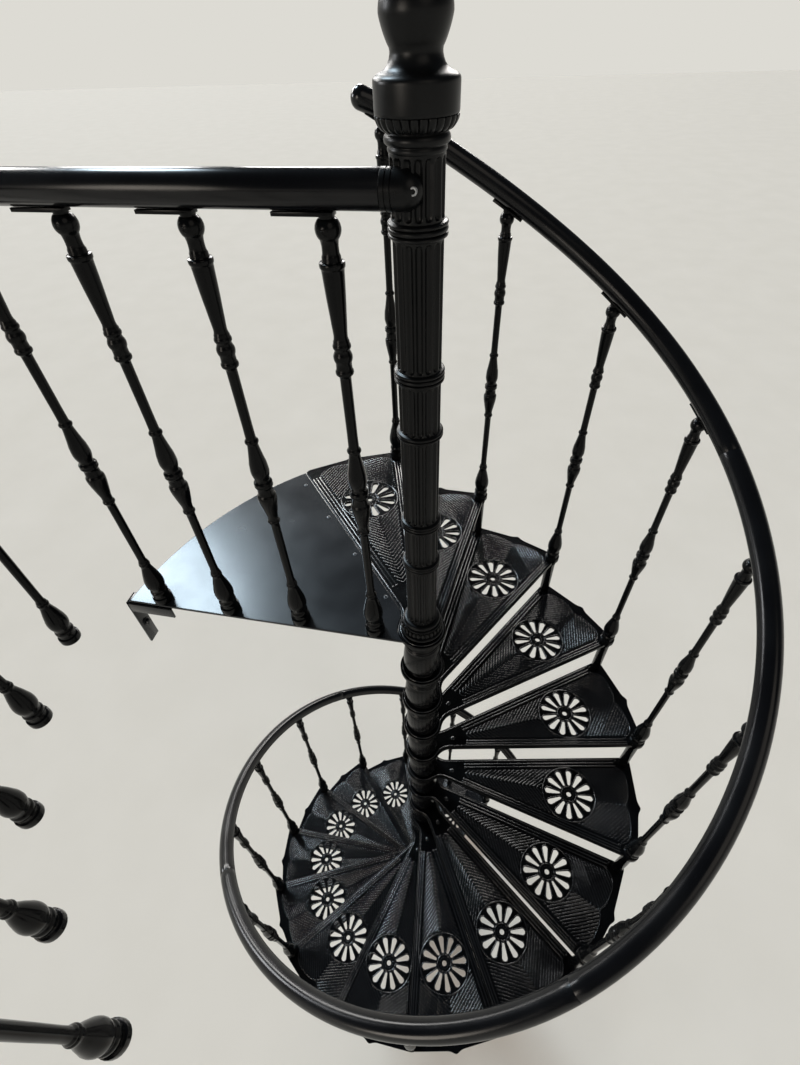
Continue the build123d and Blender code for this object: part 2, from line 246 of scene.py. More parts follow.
def wornTops(tree, spot, look):
    # Share of wear on whatever stands proud of a tread's top, patchy as feet leave it
    height = addNode(tree, "SeparateXYZ", {}, {"Vector": spot}).outputs["Z"]
    half = stair["rise"] / 2000  # in metres; each tread's top lies this far up its own rise of the modulo
    lifted = addNode(tree, "Math", {"operation": "ADD", 1: half}, {0: height}).outputs[0]
    level = addNode(tree, "Math", {"operation": "FLOORED_MODULO", 1: half * 2}, {0: lifted}).outputs[0]
    reach = {"From Min": half + look["wearFromMm"] / 1000, "From Max": half + look["wearToMm"] / 1000}
    proud = addNode(tree, "MapRange", reach, {"Value": level}).outputs[0]
    limit = half + look["wearEndMm"] / 1000
    low = addNode(tree, "Math", {"operation": "LESS_THAN", 1: limit}, {0: level}).outputs[0]
    tops = addNode(tree, "Math", {"operation": "MULTIPLY"}, {0: proud, 1: low}).outputs[0]
    patch = addNode(tree, "TexNoise", {"Scale": 1000 / look["wearPatchMm"], "Detail": 2.0}, {"Vector": spot})
    patchSpan = {"From Min": 0.3, "From Max": 0.6, "To Min": look["wearLeast"]}
    spread = addNode(tree, "MapRange", patchSpan, {"Value": patch.outputs["Fac"]}).outputs[0]
    return addNode(tree, "Math", {"operation": "MULTIPLY"}, {0: tops, 1: spread}).outputs[0]


def blackPaint(name, look):
    # Satin black enamel: a deep black with a broad soft highlight, slightly uneven as sprayed.
    # The grain under it is drawn coarser than the real one, so that it shows.
    material = bpy.data.materials.new(name)
    material.use_nodes = True
    tree = material.node_tree
    shader = tree.nodes["Principled BSDF"]
    spot = addNode(tree, "TexCoord", {}).outputs["Object"]
    cloud = addNode(tree, "TexNoise", {"Scale": 1000 / look["cloudMm"], "Detail": 3.0}, {"Vector": spot})
    grain = addNode(tree, "TexNoise", {"Scale": 1000 / look["grainMm"], "Detail": 2.0}, {"Vector": spot})
    tone = addNode(tree, "ValToRGB", {}, {"Fac": cloud.outputs["Fac"]})
    for element, position, code in zip(tone.color_ramp.elements, toneSpan, (look["deep"], look["pale"])):
        element.position = position
        element.color = linear(code)
    glossSpan = {**noiseSpan, "To Min": look["gloss"][0], "To Max": look["gloss"][1]}
    gloss = addNode(tree, "MapRange", glossSpan, {"Value": cloud.outputs["Fac"]})
    bump = addNode(tree, "Bump", {"Strength": look["bump"], "Distance": look["bumpMm"] / 1000},
                   {"Height": grain.outputs["Fac"]})
    colour = tone.outputs["Color"]
    shader.inputs["IOR"].default_value = 1.5
    shader.inputs["Specular IOR Level"].default_value = look["shine"]
    if "worn" in look:
        wear = wornTops(tree, spot, look)
        mixed = addNode(tree, "Mix", {"data_type": "RGBA", 7: linear(look["worn"])}, {0: wear, 6: colour})
        colour = mixed.outputs[2]
        shineSpan = {"To Min": look["shine"], "To Max": look["wornShine"]}
        shine = addNode(tree, "MapRange", shineSpan, {"Value": wear})
        tree.links.new(shine.outputs["Result"], shader.inputs["Specular IOR Level"])
    tree.links.new(colour, shader.inputs["Base Color"])
    tree.links.new(gloss.outputs["Result"], shader.inputs["Roughness"])
    tree.links.new(bump.outputs["Normal"], shader.inputs["Normal"])
    return material


# Cast iron keeps the sand's grain under the enamel, so its highlights break up slightly
castIron = blackPaint("enamelledCastIron", {
    "deep": "#060708", "pale": "#0c0d0e", "cloudMm": 70.0, "grainMm": 2.2,
    "gloss": (0.26, 0.38), "shine": 0.18, "bump": 0.4, "bumpMm": 0.12,
})
# Balusters and posts are small smooth castings: deeper black, with small sharp highlights on their rings
turnedIron = blackPaint("enamelledTurnedIron", {
    "deep": "#050607", "pale": "#0a0b0c", "cloudMm": 50.0, "grainMm": 1.4,
    "gloss": (0.14, 0.24), "shine": 0.13, "bump": 0.25, "bumpMm": 0.08,
})
# The treads' relief is rubbed smooth by feet: its tops are greyer and shine more than the plate between
treadIron = blackPaint("walkedCastIron", {
    "deep": "#040405", "pale": "#090a0b", "cloudMm": 70.0, "grainMm": 1.6,
    "gloss": (0.16, 0.25), "shine": 0.16, "bump": 0.3, "bumpMm": 0.1,
    "worn": "#151618", "wornShine": 0.9, "wearLeast": 0.75, "wearPatchMm": 140.0,
    "wearFromMm": 0.5, "wearToMm": 1.4, "wearEndMm": 4.0,  # above a tread's top
})
# Drawn steel tube is smooth under its coat: long clean highlights with a faint orange peel
railSteel = blackPaint("enamelledSteelTube", {
    "deep": "#060608", "pale": "#0b0c0e", "cloudMm": 160.0, "grainMm": 4.0,
    "gloss": (0.16, 0.26), "shine": 0.3, "bump": 0.12, "bumpMm": 0.1,
})
# Rolled plate, sprayed flat: an even bluish sheen
plateSteel = blackPaint("enamelledSteelPlate", {
    "deep": "#0c0e11", "pale": "#13161a", "cloudMm": 220.0, "grainMm": 3.0,
    "gloss": (0.2, 0.28), "shine": 0.4, "bump": 0.12, "bumpMm": 0.1,
})
# Blackened steel of the small screws, a little brighter where a key has turned
screwSteel = blackPaint("blackenedScrewSteel", {
    "deep": "#2c2e31", "pale": "#56585c", "cloudMm": 6.0, "grainMm": 0.8,
    "gloss": (0.25, 0.4), "shine": 0.5, "bump": 0.1, "bumpMm": 0.05,
})
# The rail end's socket screw is bare zinc-plated steel, the one bright spot on the newel
brightSteel = blackPaint("zincPlatedScrewSteel", {
    "deep": "#8a8c8e", "pale": "#b4b6b8", "cloudMm": 5.0, "grainMm": 0.8,
    "gloss": (0.3, 0.42), "shine": 0.5, "bump": 0.1, "bumpMm": 0.03,
})
print("materials ready")


# Tread casting

tread = {
    "radius": 822.0, "sag": 4.0, "cusp": 8.0, "cuspWidth": 16.0, "cornerRound": 16.0,
    "rearLap": 20.0, "frontLap": 13.0, "rootRound": 60.0, "rootRadius": 66.0,
    "bossRadius": 116.0, "bossWidth": 15.0, "bossLength": 18.0, "bossHeight": 3.0,
    "rimSteps": 72, "sideSteps": 12, "rootSteps": 10, "hubSteps": 40,
    "cornerAngle": 0.04, "rimStart": 0.024,  # radians from the tip of a long edge
    "edge": [(3.2, 0), (2.4, 0), (1.1, -0.4), (0.3, -1.3), (0, -2.6), (0, -13.2), (0.8, -14), (7.2, -14),
             (8, -13.2), (8, -7)],  # (drawn in, height) from the top round the lip to the underside
    "slotEdge": [(-1.5, 0), (-0.8, 0), (-0.2, -0.3), (0, -0.9), (0, -7)],
}
rosette = {
    "radius": 568.0, "petals": 12, "inner": 33.0, "outer": 89.0, "innerWidth": 9.3, "outerWidth": 21.0,
    "hole": 9.0, "ringRadius": 98.0, "ringWidth": 5.6, "hubRing": 27.0, "beadRing": 17.5, "beads": 12,
    "rimWidth": 4.0, "rimHeight": 2.1, "rimOffset": 1.7, "ringHeight": 2.4, "hubRingWidth": 4.0,
    "hubRingHeight": 2.2, "beadWidth": 6.2, "beadHeight": 2.6, "ringSteps": 64, "eyeSteps": 24,
}
ribs = {
    "first": 108.0, "step": 13.8, "inCount": 22, "outCount": 16,  # diamonds round the rosette
    "width": 5.4, "height": 1.9, "bulb": 6.4, "bulbHeight": 2.4,
    "edge": 24.0, "ring": 103.5, "reach": 260, "apexRound": 5.0, "apexShare": 0.4,
    "lobeX": 713.5, "lobeY": 62.0, "lobeA": 75.0, "lobeB": 80.0, "lobePower": 2.8,
}
ridges = {
    "width": 5.0, "height": 2.2, "borderWidth": 3.8, "borderHeight": 1.8,
    "borderSteps": 44, "borderFrom": -70.0, "borderTurn": 160.0, "axisGap": 0.6, "ridgeGap": 1.0,
    "rear": (-0.5, -12.3), "front": (-2.9, -12.8),  # beyond the radial line
    "rearOuter": 11.5, "frontOuter": 5.3, "innerStart": 168.0, "outerEnd": 760.0,
    "bulb": 9.0, "bulbHeight": 3.0,
}


def edgeFrame(side):
    # Unit vectors along a long edge and outwards from it
    turn = radians(side * halfStep)
    return Vector((cos(turn), sin(turn), 0)), Vector((-side * sin(turn), side * cos(turn), 0))


def arcPoints(centre, radius, start, end, count):
    return [centre + Vector((radius * cos(start + (end - start) * n / count),
                             radius * sin(start + (end - start) * n / count), 0)) for n in range(count + 1)]


def arcBetween(centre, radius, start, end, count):
    # The shorter arc from one direction to another
    first, last = atan2(start.y, start.x), atan2(end.y, end.x)
    swing = (last - first + pi) % (2 * pi) - pi
    return arcPoints(centre, radius, first, first + swing, count)


def roundCorner(before, corner, after, radius, count=8):
    # Arc tangent to both sides of a corner
    back, ahead = (before - corner).normalized(), (after - corner).normalized()
    half = back.angle(ahead) / 2
    centre = corner + (back + ahead).normalized() * radius / sin(half)
    start, end = corner + back * radius / tan(half), corner + ahead * radius / tan(half)
    return arcBetween(centre, radius, start - centre, end - centre, count)


def rimRadius(angle):
    # Outer edge of the tread: two shallow arcs that meet in a small ogee point
    fall = 1 - ((abs(degrees(angle)) - halfStep / 2) / (halfStep / 2)) ** 2
    y = tread["radius"] * sin(angle)
    ogee = tread["cusp"] * exp(-(y / tread["cuspWidth"]) ** 2)
    return tread["radius"] - tread["sag"] * max(0.0, fall) + ogee


def rootArc(side, lap):
    # Fillet between a long edge and the round root, from the edge to the root
    along, out = edgeFrame(side)
    reach, drop = tread["rootRadius"] + tread["rootRound"], lap + tread["rootRound"]
    centre = along * sqrt(reach ** 2 - drop ** 2) + out * drop
    return arcBetween(centre, tread["rootRound"], -out, -centre, tread["rootSteps"])


def innerEdge():
    # Fillet from the rear edge, arc round the hub and fillet to the nose
    rearRoot, noseRoot = rootArc(1, tread["rearLap"]), rootArc(-1, tread["frontLap"])
    start, end = atan2(rearRoot[-1].y, rearRoot[-1].x), atan2(noseRoot[-1].y, noseRoot[-1].x) + 2 * pi
    hub = arcPoints(Vector(), tread["rootRadius"], start, end, tread["hubSteps"])[1:-1]
    return rearRoot, hub, noseRoot[::-1]


def treadOutline():
    rearRoot, hub, noseRoot = innerEdge()
    tips = {}
    for side, lap in ((-1, tread["frontLap"]), (1, tread["rearLap"])):
        along, out = edgeFrame(side)
        tips[side] = along * sqrt(tread["radius"] ** 2 - lap ** 2) + out * lap
    frontAngle, rearAngle = atan2(tips[-1].y, tips[-1].x), atan2(tips[1].y, tips[1].x)
    near = [polar(rimRadius(a), degrees(a))
            for a in (frontAngle + tread["cornerAngle"], rearAngle - tread["cornerAngle"])]
    steps = tread["sideSteps"]
    points = hub + noseRoot
    points += [noseRoot[-1].lerp(tips[-1], n / steps) for n in range(1, steps)]
    points += roundCorner(noseRoot[-1], tips[-1], near[0], tread["cornerRound"])
    start, swing = frontAngle + tread["rimStart"], rearAngle - frontAngle - 2 * tread["rimStart"]
    for n in range(tread["rimSteps"] + 1):
        angle = start + swing * n / tread["rimSteps"]
        points.append(polar(rimRadius(angle), degrees(angle)))
    points += roundCorner(near[1], tips[1], rearRoot[0], tread["cornerRound"])
    points += [tips[1].lerp(rearRoot[0], n / steps) for n in range(1, steps)]
    return points + rearRoot


def inset(points, distance, height):
    # A closed outline drawn in by distance, on its left-hand side, at a height
    moved = []
    for n, point in enumerate(points):
        ahead = (points[(n + 1) % len(points)] - point).normalized()
        behind = (point - points[n - 1]).normalized()
        along = (ahead + behind).normalized()
        left = Vector((-along.y, along.x, 0))
        stretch = 1 / max(0.6, along.dot(ahead))  # not stretched further at sharp corners
        moved.append(point + left * distance * stretch + Vector((0, 0, height)))
    return moved


def petalOutline(count=7):
    inner, outer = rosette["innerWidth"] / 2, rosette["outerWidth"] / 2
    foot, head = rosette["inner"] + inner, rosette["outer"] - outer
    slope = atan2(outer - inner, head - foot)
    points = arcPoints(Vector((head, 0, 0)), outer, -pi / 2 + slope * 0.5, pi / 2 - slope * 0.5, count + 3)
    points += arcPoints(Vector((foot, 0, 0)), inner, pi / 2, 3 * pi / 2, count)
    return points


def inField(x, y):
    # Ribbed field: inside the ridges, round the rosette's ring and inside the two outer lobes
    for side in (1, -1):
        along, out = edgeFrame(side)
        if -(x * out.x + y * out.y) < ribs["edge"]:
            return False
    if hypot(x - rosette["radius"], y) < ribs["ring"]:
        return False
    if x <= ribs["lobeX"]:
        return True
    return any((abs(x - ribs["lobeX"]) / ribs["lobeA"]) ** ribs["lobePower"]
               + (abs(y - side * ribs["lobeY"]) / ribs["lobeB"]) ** ribs["lobePower"] < 1 for side in (1, -1))


def makeRibs(bm):
    # The field is the same on both sides of the axis, so each rib is laid with its mirror image
    bar = halfRound(ribs["width"], ribs["height"])
    for way, count in ((-1, ribs["inCount"]), (1, ribs["outCount"])):
        heading = Vector((-way, 1, 0)).normalized()
        for k in range(count):
            apex = Vector((rosette["radius"] + way * (ribs["first"] + ribs["step"] * k), 0, 0))
            spots = [apex + heading * n for n in range(ribs["reach"])]
            runs, run = [], []
            for spot in spots + [None]:
                if spot is not None and inField(spot.x, spot.y):
                    run.append(spot)
                elif run:
                    runs.append((run[0], run[-1]))
                    run = []
            for start, end in runs:
                layRib(bm, bar, start, end, apex + Vector((-way * ribs["apexRound"] / 2, 0, 0)))


def mirrored(point):
    return Vector((point.x, -point.y, point.z))


def layRib(bm, bar, start, end, bend):
    ends = [end, mirrored(end)]
    if start.y < 1:  # through the axis, where the bend is rounded off
        share = ribs["apexRound"] / max(1.0, (end - start).length)
        near = start.lerp(end, min(ribs["apexShare"], share))
        sweep(bm, [mirrored(end), mirrored(near), bend, near, end], bar, tip=ribs["width"] / 2)
    elif (end - start).length > ribs["width"]:
        sweep(bm, [start, end], bar, tip=ribs["width"] / 2)
        sweep(bm, [mirrored(start), mirrored(end)], bar, tip=ribs["width"] / 2)
        ends += [start, mirrored(start)]
    for tip in ends:
        bead(bm, tip, ribs["bulb"], ribs["bulbHeight"])


def lobeBorder():
    # Line round the two outer lobes, from one inner ridge to the other through the notch on the axis
    sides = []
    power = 2 / ribs["lobePower"]
    for side, offset in ((1, ridges["rear"][-1]), (-1, ridges["front"][-1])):
        along, out = edgeFrame(side)
        run = []
        for n in range(ridges["borderSteps"] + 1):
            turn = radians(ridges["borderFrom"] + ridges["borderTurn"] * n / ridges["borderSteps"])
            x = ribs["lobeX"] + ribs["lobeA"] * abs(cos(turn)) ** power
            swing = abs(sin(turn)) ** power * (1 if turn > 0 else -1)
            spot = Vector((x, side * (ribs["lobeY"] + ribs["lobeB"] * swing), 0))
            if spot.y * side > ridges["axisGap"] and spot.dot(out) < offset - ridges["ridgeGap"]:
                run.append(spot)
        sides.append(run)
    return sides[0][::-1] + sides[1]


def makeRidges(bm):
    bar = halfRound(ridges["width"], ridges["height"])
    for side, offsets in ((1, ridges["rear"]), (-1, ridges["front"])):
        along, out = edgeFrame(side)
        for offset in offsets:
            start = along * ridges["innerStart"] + out * offset
            end = along * ridges["outerEnd"] + out * offset
            sweep(bm, [start, end], bar, tip=ridges["width"] / 2)
            bead(bm, start, ridges["bulb"], ridges["bulbHeight"], around=12, rings=6)
    line = halfRound(ridges["borderWidth"], ridges["borderHeight"])
    sweep(bm, lobeBorder(), line, tip=ridges["borderWidth"] / 2)
    # Outermost ridge: down the rear edge, round the hub and out along the nose
    rearAlong, rearOut = edgeFrame(1)
    frontAlong, frontOut = edgeFrame(-1)
    rearDraw = tread["rearLap"] - ridges["rearOuter"]
    frontDraw = tread["frontLap"] - ridges["frontOuter"]
    draw = (rearDraw + frontDraw) / 2
    path = [rearAlong * ridges["outerEnd"] + rearOut * ridges["rearOuter"]]
    inner = [point for part in innerEdge() for point in part]
    for n, point in enumerate(inner):
        ahead = (inner[min(n + 1, len(inner) - 1)] - inner[max(n - 1, 0)]).normalized()
        path.append(point + Vector((-ahead.y, ahead.x, 0)) * draw)
    path.append(frontAlong * ridges["outerEnd"] + frontOut * ridges["frontOuter"])
    sweep(bm, path, bar, tip=ridges["width"] / 2)


def makeRosetteTrim(bm):
    centre = Vector((rosette["radius"], 0, 0))
    rim = halfRound(rosette["rimWidth"], rosette["rimHeight"])
    petal = inset(petalOutline(), -rosette["rimOffset"], 0)
    for n in range(rosette["petals"]):
        turn = place(rosette["radius"], 0, 0, 360 / rosette["petals"] * n)
        sweep(bm, [turn @ point for point in petal], rim, closed=True)
    rings = ((rosette["ringRadius"], rosette["ringWidth"], rosette["ringHeight"]),
             (rosette["hubRing"], rosette["hubRingWidth"], rosette["hubRingHeight"]))
    for radius, width, height in rings:
        ring = arcPoints(centre, radius, 0, 2 * pi, rosette["ringSteps"])[:-1]
        sweep(bm, ring, halfRound(width, height), closed=True)
    for n in range(rosette["beads"]):
        spot = centre + polar(rosette["beadRing"], 360 / rosette["beads"] * n)
        bead(bm, spot, rosette["beadWidth"], rosette["beadHeight"])


def makeSlab():
    # Plate with its petal slots and the lip under its edge, as one closed shell
    bm = bmesh.new()
    outline = treadOutline()
    top, under = grow(bm, [inset(outline, draw, height) for draw, height in tread["edge"]], caps=False)
    petal = petalOutline()
    turns = [place(rosette["radius"], 0, 0, 360 / rosette["petals"] * n) for n in range(rosette["petals"])]
    eye = arcPoints(Vector(), rosette["hole"], 0, 2 * pi, rosette["eyeSteps"])[:-1]
    for shape, at in [(petal, turn) for turn in turns] + [(eye, place(rosette["radius"]))]:
        loops = [[at @ point for point in inset(shape, draw, height)] for draw, height in tread["slotEdge"]]
        upper, lower = grow(bm, loops, caps=False)
        top = top + upper
        under = under + lower
    fillFaces(bm, top, under)
    return bm


hubOutline = [  # (radius, height from the tread), down to the joint with the next hub
    (31, 12), (41, 12), (42.6, 11.4), (43.2, 10), (43.2, 6.5), (45.2, 5.4), (46, 4), (46, -56),
    (46.8, -57.4), (48.2, -58.4), (49, -60), (48.8, -61.8), (47.6, -63), (46.8, -64.4), (46.8, -65.6),
    (47.8, -66.8), (49, -68.2), (49.2, -70.2), (48.6, -72.2), (47.2, -73.6), (46.6, -75.6), (46.6, -80),
    (47.4, -82.4), (48.8, -86), (50.2, -93), (51.8, -103), (53.2, -115), (54.2, -128), (54.7, -141),
    (54.5, -153), (53.6, -163), (51.8, -171), (49.8, -175.6), (47.6, -178), (31, -178), (31, 12),
]


def makeTread():
    bm = makeSlab()
    relief = bmesh.new()
    makeRibs(relief)
    makeRidges(relief)
    makeRosetteTrim(relief)
    boss = Vector((tread["bossRadius"], 0, 0))
    bead(relief, boss, tread["bossWidth"], tread["bossHeight"], tread["bossLength"], around=16, rings=8)
    bmesh.ops.recalc_face_normals(relief, faces=relief.faces)
    gather(bm, relief)
    gather(bm, turned(hubOutline, steps=40))
    return bm


treadMaster = makeTread()
print("tread casting:", len(treadMaster.faces), "faces")
for index in range(stair["treadCount"] + 1):
    bm = bmesh.new()
    gather(bm, treadMaster, place(0, 0, treadLevel(index), treadAzimuth(index)))
    node = f"tread_{index:02d}" if index else "landing_tread"
    finishPiece(node, "casting", bm, treadIron)
print("treads placed")


# Balusters

baluster = {
    "steps": 24, "ball": 19.4, "ballHeight": 992.0, "neck": 11.8, "neckFoot": 1006.6,
    "spare": 14.0,  # of the neck, cut off again under the rail
    "stripLength": 92.0, "stripWidth": 20.0, "stripThickness": 6.0, "stripEase": 0.8,
    "railRadius": 25.5, "stripGap": 0.4, "overhang": 12.0,
    "screws": [(19.0, 992), (25.4, 78)],  # (distance out, height) of the socket heads
    "socket": [(0, -2.4), (3.4, -2.4), (3.4, 0.4), (4.6, 0.4), (5, 0), (5, -4), (0, -4), (0, -2.4)],
    "outline": [  # (radius, height) up to the ball
        (0, 0), (25.6, 0), (26.5, 1), (26.9, 4), (26.9, 17), (26.4, 20), (24.5, 21.6), (22.6, 22.6),
        (22.2, 25), (22.3, 34), (23.2, 36), (23.9, 39), (23.9, 43), (23, 46), (21.4, 48), (20.8, 50),
        (21.2, 54), (22.6, 60), (24.3, 65), (25.4, 71), (25.8, 78), (25.5, 86), (24.4, 95), (22.6, 103),
        (19.6, 118), (17, 128), (14.8, 137), (13.5, 144), (13.2, 149), (13.9, 151.4), (14.7, 154),
        (14.6, 157), (13.4, 159.5), (12.6, 161), (13, 163), (12.4, 166), (11, 169), (10.3, 173),
        (10.1, 200), (10.3, 300), (10.3, 372), (10.9, 378), (12.6, 380), (14.2, 382.4), (14.4, 385),
        (13.4, 387.5), (12.2, 389), (12, 394), (12.3, 401), (13.2, 407), (14.8, 414), (16.4, 423),
        (18.2, 433), (19.8, 442), (20.8, 450), (21.2, 457), (21, 462), (19.6, 465), (17.9, 467),
        (17.3, 471), (17, 477), (16.6, 483), (17, 486), (19, 488), (20.2, 490.5), (20.2, 492.5),
        (19.2, 494.6), (19.2, 495.6), (20.2, 497.5), (20.2, 499.5), (19, 502), (16.4, 503.4),
        (15.2, 505.5), (15.4, 508), (16.6, 513), (18.6, 520), (19.8, 528), (19.6, 536), (18.4, 551),
        (16.6, 560), (14.3, 574), (12.2, 588), (11.2, 597), (11.4, 599.6), (13.2, 601), (14.2, 603.4),
        (14.1, 606), (12.8, 608.4), (11.3, 610), (10.4, 613), (10.1, 640), (10.2, 758), (10.8, 763),
        (12.8, 765), (15.4, 767.4), (16.1, 770), (16, 773), (14.8, 775.4), (14, 777), (13.8, 785),
        (14.2, 789), (15.6, 792), (16.5, 796), (16.5, 800), (15.5, 804), (14, 807), (13.4, 810),
        (13.8, 813), (15.4, 815), (15.7, 818), (15, 820.6), (13.8, 822.6), (13.8, 826), (12.4, 829),
        (11.7, 834), (12, 841), (13, 855), (13.9, 870), (15, 885), (15.9, 900), (16.7, 915), (17.4, 930),
        (17.8, 937), (18.3, 939.6), (19.5, 940.8), (20, 943), (20, 946.6), (19.2, 948.4), (15.6, 949.2),
        (14.8, 951), (14.6, 956), (13.6, 958.2), (12.9, 961), (12.7, 967), (12.9, 972),
    ],
}


def makeBaluster(railHeight, slope, shift, screwSide=1):
    drop = baluster["railRadius"] + baluster["stripThickness"] / 2 + baluster["stripGap"]
    top = railHeight - drop / cos(slope)
    ball, neck, spareTop = baluster["ball"], baluster["neck"], top + baluster["spare"]
    outline = list(baluster["outline"])
    for turn in range(-44, 52, 8):  # degrees, from below the ball up to its neck
        outline.append((ball * cos(radians(turn)), baluster["ballHeight"] + ball * sin(radians(turn))))
    outline += [(neck, baluster["neckFoot"]), (neck, spareTop), (0, spareTop)]
    bm = turned(outline, baluster["steps"])
    # The neck is cut off along the strip under the rail
    cut = bmesh.ops.bisect_plane(bm, geom=bm.verts[:] + bm.edges[:] + bm.faces[:], plane_co=(0, 0, top),
                                 plane_no=(0, -sin(slope), cos(slope)), clear_outer=True)
    rim = [g for g in cut["geom_cut"] if isinstance(g, bmesh.types.BMEdge)]
    bmesh.ops.edgeloop_fill(bm, edges=rim)
    size = (baluster["stripWidth"], baluster["stripLength"], baluster["stripThickness"])
    gather(bm, block(size, baluster["stripEase"]), Matrix.Translation((0, 0, top))
           @ Matrix.Rotation(slope, 4, "X") @ Matrix.Translation((0, shift, 0)))
    socket = turned(baluster["socket"], steps=12)
    for out, height in baluster["screws"]:
        gather(bm, socket, Matrix.Translation((out * screwSide, 0, height))
               @ Matrix.Rotation(screwSide * pi / 2, 4, "Y"))
    bmesh.ops.recalc_face_normals(bm, faces=bm.faces)
    return bm


slanted = makeBaluster(stair["railHeight"], railSlope, 0)
levelShift = baluster["stripLength"] / 2 - baluster["overhang"]
level = makeBaluster(stair["levelRailHeight"], 0, levelShift)
edging = makeBaluster(stair["levelRailHeight"], 0, levelShift, -1)  # its screws face the open side
print("baluster:", len(slanted.faces), "faces")

groups = {"upper": range(0, 6), "middle": range(6, 12), "lower": range(12, 18)}
for group, indices in groups.items():
    bm = bmesh.new()
    for index in indices:
        gather(bm, slanted, stand(stair["postCircle"], noseAzimuth(index), treadLevel(index)))
    finishPiece(f"spiral_balusters_{group}", "turned", bm, turnedIron)

landingEdge = {"edgeY": -52.0, "lineY": -27.0, "first": 126.0, "pitch": 214.0, "count": 4}
bm = bmesh.new()
for k in range(landingEdge["count"]):
    x = -landingEdge["first"] - k * landingEdge["pitch"]
    gather(bm, edging, place(x, landingEdge["lineY"], landingLevel, 90))
finishPiece("landing_balusters", "turned", bm, turnedIron)

guard = {"radius": 978.0, "first": -168.2, "pitch": 14.0, "bays": 6, "overrun": 2.0,
         "corner": 150.0, "trim": 0.2, "cornerSteps": 12, "arcSteps": 60}
bm = bmesh.new()
for k in range(guard["bays"] + 1):
    azimuth = guard["first"] + k * guard["pitch"]
    gather(bm, level, stand(guard["radius"], azimuth, landingLevel))
finishPiece("guard_balusters", "turned", bm, turnedIron)
print("balusters placed")


# Spacers between the treads' corners

spacer = {
    "radius": 18.0, "studGap": 7.0,
    "outline": [(0, 0), (12, 0), (15, 2), (17, 6), (18, 10), (18, 168), (19.4, 170), (19.8, 173), (19.4, 176),
                (0, 176)],
    "floorFoot": [(25.2, 0), (26, 1), (26, 5), (24.6, 6), (19, 7)],  # in place of the tapered foot
    "stud": [(0, 0), (6.4, 0), (6.4, 5), (4.6, 5.6), (4.6, 13), (3.4, 17), (1.6, 20), (0, 20.6)],
}


def makeSpacer(onFloor):
    outline = list(spacer["outline"])
    if onFloor:
        outline[1:4] = spacer["floorFoot"]
    return turned(outline, steps=24)


for group, indices in groups.items():
    bm = bmesh.new()
    for index in indices:
        azimuth, height = noseAzimuth(index), treadLevel(index + 1)
        onFloor = index == stair["treadCount"]
        gather(bm, makeSpacer(onFloor), stand(stair["postCircle"], azimuth, height))
        if not onFloor:
            inward = stair["postCircle"] - spacer["radius"] - spacer["studGap"] - spacer["stud"][1][0]
            gather(bm, turned(spacer["stud"], steps=12), place(*polar(inward, azimuth, height)))
    finishPiece(f"tread_spacers_{group}", "turned", bm, turnedIron)
print("spacers placed")


# Handrails

rail = {
    "radius": 25.5, "lengths": 5, "leadIn": 0.16, "leadOut": 0.36, "gap": 0.4, "sides": 40, "steps": 48,
    "ease": 0.5, "easeMiddle": 0.3, "upperDome": 24.0, "lowerDome": 15.0,
    "domeTurns": (0, 12, 24, 36, 48, 60, 70, 80, 87),  # degrees
    "easeOff": 0.05, "easeShare": 0.35, "tipTrim": 0.014,  # in steps of the stair
}


def helixPoint(step):
    # The rail follows the noses and eases off a little above the first baluster
    flat = (step + sqrt(step ** 2 + rail["easeOff"] ** 2)) / 2
    fall = step + (flat - step) * rail["easeShare"]
    return polar(stair["postCircle"], noseAzimuth(step), treadLevel(fall) + stair["railHeight"])


def bentTube(bm, path, radius, domeStart, domeEnd):
    # Round tube along a path, its ends domed or eased for a butt joint
    tube = circle(radius, rail["sides"])
    loops = []
    count = len(path)
    for n, point in enumerate(path):
        along = (path[min(n + 1, count - 1)] - path[max(n - 1, 0)]).normalized()
        across = along.cross(Vector((0, 0, 1))).normalized()
        up = across.cross(along)
        ring = [(radius, 0.0)]
        if n in (0, count - 1):
            dome = domeStart if n == 0 else domeEnd
            way = -1 if n == 0 else 1
            if dome:
                turns = [radians(turn) for turn in rail["domeTurns"]]
                ring = [(radius * cos(turn), way * dome * sin(turn)) for turn in turns]
            else:
                ease, middle = rail["ease"], rail["ease"] * rail["easeMiddle"]
                ring = [(radius, -way * ease), (radius - middle, -way * middle), (radius - ease, 0.0)]
            if n == 0:
                ring = ring[::-1]
        for size, reach in ring:
            spot = point + along * reach
            loops.append([spot + across * a * size / radius + up * b * size / radius for a, b in tube])
    grow(bm, loops)
    bmesh.ops.recalc_face_normals(bm, faces=bm.faces)


share = (stair["treadCount"] + rail["leadIn"] + rail["leadOut"]) / rail["lengths"]
arcLength = stair["postCircle"] * radians(stair["stepAngle"]) / cos(railSlope)
for k in range(rail["lengths"]):
    bm = bmesh.new()
    trim = rail["gap"] / 2 / arcLength
    start, end = k * share - rail["leadIn"] + trim, (k + 1) * share - rail["leadIn"] - trim
    if k == 0:
        start += rail["tipTrim"]
    path = [helixPoint(start + (end - start) * n / rail["steps"]) for n in range(rail["steps"] + 1)]
    upperDome = rail["upperDome"] if k == 0 else 0
    lowerDome = rail["lowerDome"] if k == rail["lengths"] - 1 else 0
    bentTube(bm, path, rail["radius"], upperDome, lowerDome)
    finishPiece(f"spiral_rail_{k + 1}", "tube", bm, railSteel)

